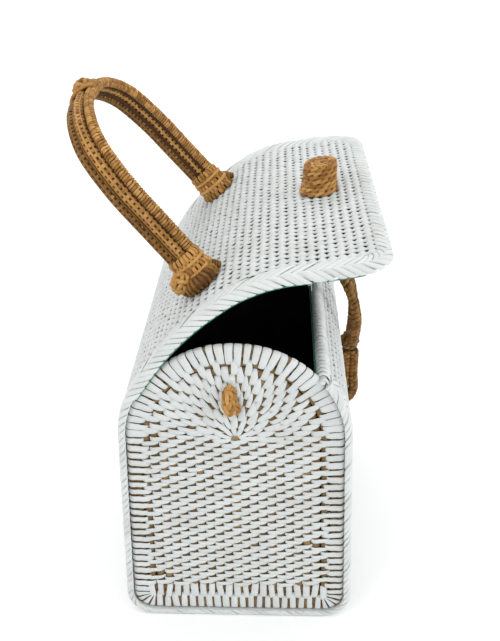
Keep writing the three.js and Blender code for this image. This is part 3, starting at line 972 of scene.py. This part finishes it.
def build_end_panels():
    for side, sign in SIDES.items():
        work = Work()
        for stitches in (leg_stitches, arch_stitches, band_stitches, base_row_stitches):
            stitches(work, sign)
        nodes = (f"end_panel_{side}", f"end_rim_{side}")
        finish(work, f"end_strips_{side}", WHITE, "white_weave", "body", *nodes)
        finish(end_rods(sign), f"end_rods_{side}", ROD, "white_weave", "body")


# ---------------- lining

LINING_HALF = 107.5
LINING_OUT = -0.45
LINING_THICK = 0.8
END_LINING_INSET = 1.5
LIP_LINING_INSET = 5.0


def build_lining():
    """Black cloth behind every woven face."""
    xs = np.linspace(-LINING_HALF, LINING_HALF, 44)
    profile = [(x, LINING_OUT) for x in xs] + [(x, LINING_OUT - LINING_THICK) for x in xs[::-1]]
    for index, (part, ride, s_from, s_to) in enumerate(SEGMENTS):
        if index == 0:
            s_from += 1
        if s_to == LID_LENGTH:
            s_to -= LIP_LINING_INSET
        work = Work()
        work.sweep(puckered, np.linspace(s_from, s_to, max(8, int((s_to - s_from) / 4))), profile)
        node = f"lid_lining_{index}" if index else "lining_body"
        piece = finish(work, f"lining_cloth_{part}", LINING, "lining", ride, node)
    for side, sign in SIDES.items():
        build_end_lining(side, sign)


def puckered(s, x, h):
    """The sheet's surface with the lining's slight pull between its stitches."""
    s, x, h = spread_out(s, x, h)
    pull = 0.3 * (1 + np.sin(x / 7.0 + 2 * np.sin(s / 23.0)) * np.cos(s / 9.0))
    corner = np.where(x > 0, LIP_CORNERS["right"], LIP_CORNERS["left"])
    radius = corner - LIP_LINING_INSET
    past = np.clip((s - (LID_LENGTH - corner)) / radius, 0, 1)
    reach = HALF_LENGTH - corner + radius * np.sqrt(1 - past**2)
    return sheet(s, x * np.minimum(1, reach / LINING_HALF), h - pull)


def build_end_lining(side, sign):
    inner, outer = (corner.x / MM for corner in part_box(f"lining_end_{side}"))
    rim = end_outline(np.linspace(0, end_outline.last, 120, endpoint=False), 0, -END_LINING_INSET)
    middle = rim.mean(0)
    shares = np.linspace(0.02, 1, 14)
    rings = []
    for x, order in ((outer, shares), (inner, shares[::-1])):
        for share in order:
            ring = middle + share * (rim - middle)
            pucker = np.sin(ring[:, 1] / 9.0) * np.sin(ring[:, 2] / 11.0)
            ring[:, 0] = x + 0.25 * sign * pucker * (1 - share)
            rings.append(ring)
    work = Work()
    points = facing_out(np.array(rings))[None]
    work.grid(points, np.zeros(points.shape))
    piece = finish(work, f"lining_cloth_end_{side}", LINING, "lining", "body", f"lining_end_{side}")


# ---------------- woven cords

# Height along a stitch that wraps part of the way round a cord.
WRAP_HEIGHTS = (-1.0, -0.1, 0.35, 0.5, 0.5, 0.35, -0.1, -1.0)
WRAP_THICK = 0.9
CORE_STATIONS = 120
# The cane wound in rings round the crown and the roots of the handle.
WOUND_RADIUS = 1.15


def wrap_cord(work, cord, radius, columns, pitch, fill, stagger=0.0, slant=0.0, span=1.2):
    """Stitches in columns along a cord, each wrapping part of the way round it."""
    shares = np.linspace(0, 1, 9)
    width = 2 * math.pi / columns
    for column in range(columns):
        shift = (column * stagger) % 1
        t = np.arange(pitch * (0.5 + shift), cord.length - pitch * 0.3, pitch)[:, None]
        count = len(t)
        angle = width * column + (shares - 0.5) * width * span
        place = t + slant * pitch * (shares - 0.5) + jitter(0.05 * pitch, count)
        heights = radius + ripple(shares, WRAP_HEIGHTS) + jitter(0.07, count)
        half = pitch * fill * (1 + jitter(0.06, count))
        half = half * (0.75 + 0.25 * np.sin(math.pi * shares))
        work.strips(cord, place, angle, heights, half, half, spread=(1, 0), thick=WRAP_THICK)


def add_core(work, cord, radius):
    """The round core of a cord, in painted shade where it shows between its stitches."""
    work.tube(cord(np.linspace(0, cord.length, CORE_STATIONS), 0, 0), radius, sides=12)


def closed_ring(work, points, radius, tint):
    """A ring of cane through a closed loop of points."""
    line = np.concatenate((points, points[:2]))
    work.tube(line, radius, reference=points.mean(0) - points[0] + 0.013, tint=tint)


# The share of its egg shape that a knot's core fills, and how narrow the core's two ends are.
KNOT_CORE = 0.86
KNOT_POLE = 0.05
KNOT_CROSSING = math.pi / 4
# Each length of cane runs this far either way over the egg, and its ends dip into the core.
KNOT_REACH = 0.62
KNOT_DIP = 0.75


def knobble(work, centre, radii, stand, count, size, palest=0.0):
    """A knot: short bent lengths of cane over an egg shape, crossing each other. Their tints run
    from the palest value up to 1."""

    def placed(local):
        return stand(*(local * radii).T) - stand.origin + centre

    ring = full_turn(14)
    egg = []
    for a in np.linspace(0, math.pi, 10):
        scale = max(math.sin(a), KNOT_POLE)
        local = np.stack((scale * np.cos(ring), scale * np.sin(ring), np.full(len(ring), math.cos(a))), -1)
        egg.append(placed(KNOT_CORE * local))
    # The egg takes the darkest tint, as painted shade where it shows between the lengths.
    work.loops(np.array(egg), 0.0)
    golden = math.pi * (3 - math.sqrt(5))
    steps = np.linspace(-KNOT_REACH, KNOT_REACH, 7)[:, None]
    for k in range(count):
        z = 1 - 2 * (k + 0.5) / count
        flat = math.sqrt(1 - z * z)
        direction = np.array((flat * math.cos(golden * k), flat * math.sin(golden * k), z))
        side = unit(np.cross(direction, (0.3, 0.2, 1.0)))
        other = np.cross(direction, side)
        lean = KNOT_CROSSING * (1 if k % 2 else -1) + random.normal(0, 0.25)
        heading = side * math.cos(lean) + other * math.sin(lean)
        line = placed(unit(direction + steps * heading) * (1.06 - KNOT_DIP * steps**2))
        tint = palest + (1 - palest) * random.random()
        work.tube(line, size * (1 - 0.35 * np.abs(steps[:, 0])), reference=(0.31, 0.52, 0.79), tint=tint)


# ---------------- handle

HANDLE_STAND = lid_stand(JOINT_S[1] + LID_LENGTHS[1] / 2)
HANDLE_HEIGHT = 115.0
STRAND_RADIUS = 3.1
STRAND_CORE = STRAND_RADIUS - 0.55
STRAND_WRAP = STRAND_RADIUS - 1.2
STRAND_SPACING = 6.5
STRAND_PROUD = 1.4
STRAND_LEG = ((70.3, 11.5), (68.5, 40), (65.5, 72), (55.5, 95), (35, 109))
# Each strand: its place across the handle, how proud it stands, its cane and its stitches.
STRANDS = {
    "rear": (STRAND_SPACING, 0.4, DARK_CANE, dict(columns=6, pitch=3.3, fill=0.32)),
    "middle": (0.0, STRAND_PROUD, CANE, dict(columns=6, pitch=3.4, fill=0.33)),
    "front": (-STRAND_SPACING, -0.2, CANE, dict(columns=4, pitch=1.75, fill=0.46, stagger=0.25, slant=0.3)),
}
RAIL_RADIUS = 0.7
SEAM_RADIUS = 1.7
SEAM_DEPTH = 0.4


def strand_cord(y, proud):
    """The middle line of a strand: up the left leg, over the crown and down the right one."""
    left = [(-x - 0.8 * proud, z + proud * z / HANDLE_HEIGHT) for x, z in STRAND_LEG]
    right = [(-x, z) for x, z in reversed(left)]
    x, z = np.array(left + [(0, HANDLE_HEIGHT + proud)] + right).T
    return Cord(HANDLE_STAND(x, y, z), reference=HANDLE_STAND.y)


def build_strands():
    """Three strands side by side, with tubes in painted shade in the seams beside the middle one."""
    for place, (y, proud, cane, stitches) in STRANDS.items():
        cord = strand_cord(y, proud)
        # The strand's core and the seam tubes are painted shade, seen only between the stitches.
        core = Work()
        add_core(core, cord, STRAND_CORE)
        if place == "middle":
            for seam in (-STRAND_SPACING / 2, STRAND_SPACING / 2):
                between = strand_cord(seam, -SEAM_DEPTH)
                line = between(np.linspace(0, between.length, CORE_STATIONS), 0, 0)
                core.tube(line, SEAM_RADIUS)
        finish(core, f"handle_core_{place}", PAINTED_SHADE_CORE, "brown_cane", "lid_2")
        work = Work()
        wrap_cord(work, cord, STRAND_WRAP, **stitches)
        if place != "front":
            add_rails(work, cord, stitches["columns"])
        finish(work, f"handle_weave_{place}", cane, "brown_cane", "lid_2", f"handle_strand_{place}")


def add_rails(work, cord, columns):
    """Thin canes running along a cord between its columns of rungs."""
    t = np.linspace(0, cord.length, CORE_STATIONS)
    for k in range(columns):
        line = cord(t, (k + 0.5) * 2 * math.pi / columns, STRAND_CORE)
        work.tube(line, RAIL_RADIUS, sides=6, tint=0.35 + 0.5 * random.random())


CROWN_RINGS = 7
CROWN_HALF = (4.4, 9.4)
CROWN_KNOT = (4.6, 5.4, 3.6)


def build_crown():
    """Turns of split cane round the three strands at the top of the handle, and a knot."""
    work = Work()
    angles = full_turn(40)
    for k in range(CROWN_RINGS):
        x = (k - (CROWN_RINGS - 1) / 2) * 2.0
        grown = 0.5 * math.cos(math.pi * (k / (CROWN_RINGS - 1) - 0.5))
        y = (CROWN_HALF[1] + grown) * np.sin(angles)
        z = HANDLE_HEIGHT + STRAND_PROUD / 2 + (CROWN_HALF[0] + grown) * np.cos(angles)
        closed_ring(work, HANDLE_STAND(x, y, z), WOUND_RADIUS, random.random())
    knobble(work, HANDLE_STAND(0, -1.5, HANDLE_HEIGHT + 5), CROWN_KNOT, HANDLE_STAND, count=24, size=1.3)
    finish(work, "handle_crown_wrap", CANE, "cane_binding", "lid_2", "handle_binding_crown")


FOOT_X = 73.0
FOOT_HEIGHT = 19.5
FOOT_DROP = 18.7
FOOT_SHIFT = 2.6
# The skirt's half widths, from its top down to the lid.
FOOT_HALF_X = (5.2, 5.6, 6.6, 8.2, 10.2)
FOOT_HALF_Y = (9.6, 9.8, 10.2, 10.9, 12.0)
FOOT_RIBS = 22
FOOT_ROWS = 5
FOOT_FILL = 0.42
FOOT_RIB = (-1.1, 0.1, 0.35, 0.35, 0.1, -1.1)
# The cords round the skirt: how far down it, and how thick.
FOOT_CORDS = ((0.3, 1.0), (0.62, 1.3))


def build_foot(side, sign):
    """A ribbed skirt that flares onto the lid, with two cords round it."""

    def skirt(t, angle, h):
        t, angle, h = spread_out(t, angle, h)
        x = sign * (FOOT_X - FOOT_SHIFT * (1 - t)) + (ripple(t, FOOT_HALF_X) + h) * np.cos(angle)
        y = (ripple(t, FOOT_HALF_Y) + h) * np.sin(angle)
        return HANDLE_STAND(x, y, FOOT_HEIGHT - FOOT_DROP * t)

    # The skirt's core is painted shade, showing between the ribs.
    core = Work()
    core.sweep(skirt, np.linspace(0, 1, 12), [(a, -0.9) for a in full_turn(24)])
    finish(core, f"handle_foot_core_{side}", PAINTED_SHADE_CORE, "cane_binding", "lid_2")

    work = Work()
    width = 2 * math.pi / FOOT_RIBS
    shares = np.linspace(0, 1, 7)
    for row in range(FOOT_ROWS):
        t = np.clip((row + shares * 1.15) / FOOT_ROWS, 0, 1)
        heights = ripple(shares, FOOT_RIB) + jitter(0.1, FOOT_RIBS)
        angle = (np.arange(FOOT_RIBS)[:, None] + 0.5 * (row % 2)) * width + jitter(0.02, FOOT_RIBS)
        work.strips(skirt, t, angle, heights, FOOT_FILL * width, FOOT_FILL * width, thick=WRAP_THICK)
    finish(work, f"handle_foot_weave_{side}", CANE, "cane_binding", "lid_2", f"handle_foot_{side}")

    cords = Work()
    for t, radius in FOOT_CORDS:
        closed_ring(cords, skirt(t, full_turn(48), 0.7), radius, 0.9)
    name, node = f"handle_foot_cords_{side}", f"handle_binding_{side}"
    finish(cords, name, CANE, "cane_binding", "lid_2", node)


COIL_TURNS = 12
# How far the coil reaches from the foot's middle, along the bag and across it.
COIL_HALF = (11.5, 11.0)
COIL_HEIGHT = 4.4
COIL_CORE = 3.5
COIL_WRAP = 3.6


def build_root_coil(side, sign):
    """A wrapped coil round the outside of the foot's root, thinner at its ends."""
    angles = np.radians(np.linspace(-75, 75, 24)) + (math.pi if sign < 0 else 0)
    x, y = sign * FOOT_X + COIL_HALF[0] * np.cos(angles), COIL_HALF[1] * np.sin(angles)
    coil = Cord(HANDLE_STAND(x, y, COIL_HEIGHT), reference=HANDLE_STAND.z)
    work = Work()
    taper = np.sin(np.linspace(0.25, math.pi - 0.25, 30)) ** 0.4
    line = coil(np.linspace(0, coil.length, 30), 0, 0)
    # The coil's core takes a low tint, as painted shade between the wound rings.
    work.tube(line, COIL_CORE * taper, reference=HANDLE_STAND.z, sides=10, tint=0.2)
    angle = full_turn(24)
    for k in range(COIL_TURNS):
        at = coil.length * (k + 0.7) / (COIL_TURNS + 0.4)
        size = COIL_WRAP * math.sin(0.3 + (math.pi - 0.6) * (k + 0.5) / COIL_TURNS) ** 0.4
        ring = coil(at + 0.5 * np.sin(angle), angle, size)
        closed_ring(work, ring, WOUND_RADIUS, random.random())
    finish(work, f"handle_root_coil_{side}", DARK_CANE, "cane_binding", "lid_2")


ROOT_KNOT = (4.8, 5.4, 5.2)


def build_root_knot(side, sign):
    """A knobbly knot on the back corner of the foot."""
    work = Work()
    centre = HANDLE_STAND(sign * (FOOT_X + 8.0), 8.0, 9.5)
    knobble(work, centre, ROOT_KNOT, HANDLE_STAND, count=38, size=1.3, palest=0.45)
    finish(work, f"handle_root_knot_{side}", CANE, "cane_binding", "lid_2")


# The ear's middle line: how far outwards from the foot, across the handle, and up.
EAR = ((1.0, -9.5, 5.5), (1.5, -12.5, 4.2), (2.0, -15.2, 2.2))
EAR_TURNS = 5


def build_root_ear(side, sign):
    """The wrapped end of cane that lies on the lid in front of the foot."""
    outward, y, z = np.array(EAR).T
    ear = Cord(HANDLE_STAND(sign * (FOOT_X + outward), y, z), reference=HANDLE_STAND.z)
    work = Work()
    line = ear(np.linspace(0, ear.length, 8), 0, 0)
    # The ear's core takes a low tint, as painted shade between the wound rings.
    work.tube(line, np.linspace(3.4, 1.0, 8), reference=HANDLE_STAND.z, sides=10, tint=0.2)
    for k in range(EAR_TURNS):
        ring = ear(ear.length * (k + 0.3) / EAR_TURNS, full_turn(16), 3.5 - 0.5 * k)
        closed_ring(work, ring, 0.75, random.random())
    finish(work, f"handle_root_ear_{side}", DARK_CANE, "cane_binding", "lid_2")


def build_handle():
    build_strands()
    build_crown()
    for side, sign in SIDES.items():
        for build in (build_foot, build_root_coil, build_root_knot, build_root_ear):
            build(side, sign)


# ---------------- toggle

TOGGLE_FORWARD = 3.5
TOGGLE_STAND = lid_stand(JOINT_S[3] + LID_LENGTHS[3] / 2 + TOGGLE_FORWARD)
TOGGLE_LEAN = 0.19
# The stub's radius at heights above the lid.
TOGGLE_HEIGHTS = (0, 2.5, 6, 15, 18.5)
TOGGLE_RADII = (11.4, 10.6, 9.7, 9.4, 9.2)
TOGGLE_COLUMNS = 14
TOGGLE_ROWS = 7
TOGGLE_PITCH = 2.6
TOGGLE_SPAN = 1.25
TOGGLE_STITCH = (-1.4, -0.3, 0.2, 0.4, 0.4, 0.2, -0.3, -1.4)
TOP_Z = 18.0
# The rings of stitches on the top: radius and number.
TOP_RINGS = ((8.4, 15), (5.7, 11), (3.0, 6), (0.8, 3))
TOP_STITCH = (-1.2, -0.2, 0.1, 0.2, 0.1, -0.2, -1.2)


def toggle_point(radius, angle, z):
    return TOGGLE_STAND(radius * np.cos(angle), radius * np.sin(angle) - TOGGLE_LEAN * z, z)


def toggle_wall(z, angle, h):
    z, angle, h = spread_out(z, angle, h)
    return toggle_point(np.interp(z, TOGGLE_HEIGHTS, TOGGLE_RADII) + h, angle, z)


def toggle_top(r, angle, h):
    r, angle, h = spread_out(r, angle, h)
    return toggle_point(r, angle, TOP_Z + 1.1 * np.sqrt(np.clip(1 - (r / 12.0) ** 2, 0, 1)) + h)


def stitch_angles(count, odd, shares):
    """The angles of a ring of stitches round the toggle, set half a stitch round in odd rows."""
    width = 2 * math.pi / count
    return (np.arange(count)[:, None] + 0.5 * odd) * width + (shares - 0.5) * TOGGLE_SPAN * width


def build_toggle():
    """A stub of plaited cane with a flared foot and a plaited top."""
    angles = full_turn(28)
    # The stub's core is painted shade, showing between the stitches.
    core = Work()
    core.sweep(toggle_wall, (0.6, 3, 6, 10, 14, 17.8), [(a, -1.1) for a in angles])
    finish(core, "toggle_stub", PAINTED_SHADE_CORE, "brown_cane", "lid_4", "toggle_core")

    work = Work()
    shares = np.linspace(0, 1, 9)
    for row in range(TOGGLE_ROWS):
        angle = stitch_angles(TOGGLE_COLUMNS, row % 2, shares)
        z = 1.9 + TOGGLE_PITCH * row + (shares - 0.5) * 2.2 + jitter(0.15, TOGGLE_COLUMNS)
        z = np.clip(z, 0.6, 18.4)
        heights = ripple(shares, TOGGLE_STITCH) + jitter(0.1, TOGGLE_COLUMNS)
        half = 1.1 * (1 + jitter(0.1, TOGGLE_COLUMNS))
        work.strips(toggle_wall, z, angle, heights, half, half, spread=(0.95, -0.03), thick=1.2)
    finish(work, "toggle_weave", CANE, "brown_cane", "lid_4", "toggle_sleeve")

    cap = Work()
    for radius, count in TOP_RINGS:
        angle = stitch_angles(count, radius < 7, shares)
        heights = ripple(shares, TOP_STITCH) + jitter(0.1, count)
        r = np.maximum(radius + (shares - 0.5) * 1.6, 0.3)
        cap.strips(toggle_top, r, angle, heights, 1.2, 1.2, spread=(1, 0), thick=1.0)
    # The plate under the top's stitches takes the darkest tint, as painted shade between them.
    plate = [toggle_top(r, angles, -0.9) for r in (0.3, 3, 6, 8, 9)]
    under = [toggle_top(r, angles, -2.4) for r in (9, 5, 0.3)]
    cap.loops(np.array(plate + under), 0.0)
    finish(cap, "toggle_top", CANE, "brown_cane", "lid_4", "toggle_cap")


# ---------------- closure loop

LOOP_TOP = (0, -64.5, 203)
LOOP_HALF = ((8, -75.5, 146), (12, -76.8, 158), (15.5, -76.5, 173), (14.5, -73, 187), (9.5, -67.5, 198))
LOOP_LINE = [(-x, y, z) for x, y, z in LOOP_HALF] + [LOOP_TOP, *reversed(LOOP_HALF)]
# The tail's middle line in the bag's Y and Z, down its front and up behind.
TAIL_FRONT = ((-78.1, 138), (-78.3, 118), (-77.8, 100), (-75.4, 96.5))
TAIL_BEHIND = ((-73.2, 100), (-72.8, 118), (-72.8, 138))
TAIL_LINE = [(0, y, z) for y, z in TAIL_FRONT + TAIL_BEHIND]
LOOP_CORE = 2.55
TAIL_CORE = 2.5
LOOP_WRAP = 2.2


def build_plaited_cord(name, cord, core_radius, pitch, body, node):
    """Plaited stitches round a core in painted shade, which together stand for one CAD node."""
    core = Work()
    add_core(core, cord, core_radius)
    finish(core, f"{name}_core", PAINTED_SHADE_CORE, "brown_cane", body)
    work = Work()
    wrap_cord(work, cord, LOOP_WRAP, 5, pitch, fill=0.5, stagger=0.4, slant=0.35, span=1.3)
    finish(work, f"{name}_weave", DARK_CANE, "brown_cane", body, node)


def build_loop():
    loop = Cord(LOOP_LINE, reference=(0, -1, 0.2))
    build_plaited_cord("loop", loop, LOOP_CORE, 3.3, "loop", "closure_loop")
    tail = Cord(TAIL_LINE, reference=(1, 0, 0))
    build_plaited_cord("loop_tail", tail, TAIL_CORE, 3.0, "body", "loop_tail")

    low, high = (np.array(corner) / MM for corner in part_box("loop_knot"))
    knot = Work()
    radii = (high - low) / 2 - (0.0, 0.2, 0.8)
    knobble(knot, (low + high) / 2, radii, UPRIGHT, count=30, size=1.5)
    finish(knot, "loop_knot_plait", DARK_CANE, "brown_cane", "body", "loop_knot")


# ---------------- end knots, edging and fibres


def build_end_knots():
    """A knot of crossed cane on each end panel, with a smaller turn low on one side."""
    for side in SIDES:
        low, high = (np.array(corner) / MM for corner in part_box(f"end_knot_{side}"))
        centre, half = (low + high) / 2, (high - low) / 2
        work = Work()
        knobble(work, centre, half * (0.8, 0.78, 0.88), UPRIGHT, count=28, size=1.35, palest=0.2)
        beside = centre + (0, -0.75 * half[1], -0.5 * half[2])
        knobble(work, beside, half * (0.7, 0.5, 0.32), UPRIGHT, count=14, size=1.0, palest=0.2)
        finish(work, f"end_knot_plait_{side}", CANE, "brown_cane", "body", f"end_knot_{side}")


STITCH_LENGTH = 2.6
STITCH_LOOP = 1.2
THREAD_RADIUS = 0.42
RIM_THREAD_RADIUS = 1.0


def stitched_line(name, points, ride, radius=THREAD_RADIUS):
    """A twisted sewing thread with a small loop over it at every stitch."""
    work = Work()
    work.tube(points, radius, reference=(0.2, 0.3, 1.0), sides=6)
    distance = travelled(points)
    for t in np.arange(STITCH_LENGTH / 2, distance[-1], STITCH_LENGTH):
        at, ahead = (
            np.array([np.interp(place, distance, points[:, axis]) for axis in range(3)])
            for place in (t, t + STITCH_LOOP)
        )
        lift = random.normal(0, 0.35, 3)
        over = (at + ahead) / 2 + lift * 0.8 + (0, 0, 0.35)
        line = np.array([at - 0.3 * lift, over, ahead + 0.3 * lift])
        work.tube(line, 0.3, reference=(0.2, 0.3, 1.0), sides=5, tint=random.random())
    finish(work, name, THREAD, "lining", ride)


def build_edging():
    """Green blanket stitch where the lining meets the plait, round the lid and along the rim."""
    for _, ride, s_from, s_to in SEGMENTS[1:]:
        for side, sign in SIDES.items():
            corner = LIP_CORNERS[side] if s_to == LID_LENGTH else 0
            stations = np.arange(s_from, s_to - corner + 0.1, 2.0)
            line = sheet(stations, sign * (HALF_LENGTH - 0.1), -2.1)
            stitched_line(f"edging_{ride + 1}_{side}", line, ride)
    xs = np.arange(-HALF_LENGTH + LIP_CORNERS["left"], HALF_LENGTH - LIP_CORNERS["right"] + 0.1, 2.0)
    stitched_line("edging_lip", sheet(LID_LENGTH - 1.0, xs, -1.5), LIP_RIDE)
    y, z = around(RIM_CENTRE, RIM_RADIUS + 0.8, RIM_WRAP_START + 52)
    line = np.array([(x, y, z) for x in np.arange(-HALF_LENGTH + 3, HALF_LENGTH - 3, 2.0)])
    stitched_line("edging_rim", line, "body", RIM_THREAD_RADIUS)


FIBRE_COUNT = 14
FIBRE_RADIUS = 0.11


def build_fibres():
    """A few frayed ends hanging from the near edge of the lid."""
    work = Work()
    shares = np.linspace(0, 1, 7)[:, None]
    for _ in range(FIBRE_COUNT):
        root = sheet(116 + 14 * random.random(), -HALF_LENGTH, -1.0)
        reach = 1.5 + 2.5 * random.random()
        drop = np.array((-0.35 + 0.3 * random.random(), random.normal(0, 0.55), -1.0))
        curl = random.normal(0, 0.9, 3)
        line = root + drop * shares * reach + curl * shares**2
        work.tube(line, FIBRE_RADIUS, reference=(0.3, 1, 0.2), sides=5)
    finish(work, "frayed_fibres", WHITE_PLAIT, "white_braid", "lid_4")


# ---------------- the studio

CAMERA_PLACE = (-498.3, -23.6, 439.7)
CAMERA_PITCH = 29.31
CAMERA_YAW = 2.1
CAMERA_ROLL = -0.61
CAMERA_LENS = 46.46
FLOOR_REACH = 6.0
# Lights, in metres: place, size and watts. All of them face the middle of the bag.
LIGHT_TARGET = (0, 0, 0.13)
LIGHTS = {
    "key": ((-1.2, 1.0, 1.8), 0.9, 8),
    "side": ((-0.6, -2.0, 1.2), 1.0, 15),
    "back": ((1.4, 0.3, 1.8), 1.2, 8),
}


def build_camera():
    pitch, yaw, roll = (math.radians(a) for a in (CAMERA_PITCH, CAMERA_YAW, CAMERA_ROLL))
    level = math.cos(pitch)
    forward = Vector((level * math.cos(yaw), level * math.sin(yaw), -math.sin(pitch)))
    across = forward.cross(Vector((0, 0, 1))).normalized()
    right = math.cos(roll) * across + math.sin(roll) * across.cross(forward)
    turn = Matrix((right, right.cross(forward), -forward)).transposed().to_4x4()
    data = bpy.data.cameras.new("camera")
    data.lens = CAMERA_LENS
    data.sensor_width = 36
    data.clip_start = 0.01
    camera = bpy.data.objects.new("camera", data)
    camera.matrix_world = Matrix.Translation(Vector(CAMERA_PLACE) * MM) @ turn
    bpy.context.scene.collection.objects.link(camera)
    bpy.context.scene.camera = camera


def build_floor():
    data = bpy.data.meshes.new("floor")
    corners = [(x * FLOOR_REACH, y * FLOOR_REACH, 0) for x, y in ((-1, -1), (1, -1), (1, 1), (-1, 1))]
    data.from_pydata(corners, [], [(0, 1, 2, 3)])
    floor = bpy.data.objects.new("floor", data)
    bpy.context.scene.collection.objects.link(floor)
    material, _, shader = begin_material("pale_floor")
    shader.inputs["Base Color"].default_value = (0.95, 0.95, 0.95, 1.0)
    shader.inputs["Roughness"].default_value = 0.9
    data.materials.append(material)


def build_lights():
    """White surroundings and three soft lights."""
    world = bpy.data.worlds.new("studio")
    world.use_nodes = True
    background = world.node_tree.nodes["Background"]
    background.inputs["Color"].default_value = (1.0, 1.0, 1.0, 1.0)
    background.inputs["Strength"].default_value = 1.0
    bpy.context.scene.world = world
    for name, (place, size, watts) in LIGHTS.items():
        data = bpy.data.lights.new(name, "AREA")
        data.shape = "DISK"
        data.size = size
        data.energy = watts
        light = bpy.data.objects.new(name, data)
        light.location = place
        light.rotation_euler = (Vector(LIGHT_TARGET) - Vector(place)).to_track_quat("-Z", "Y").to_euler()
        bpy.context.scene.collection.objects.link(light)
    bpy.context.scene.view_settings.view_transform = "Standard"


build_camera()
build_sheet()
build_plaits()
build_rim()
build_end_panels()
build_lining()
build_handle()
build_toggle()
build_loop()
build_end_knots()
build_edging()
build_fibres()
build_floor()
build_lights()
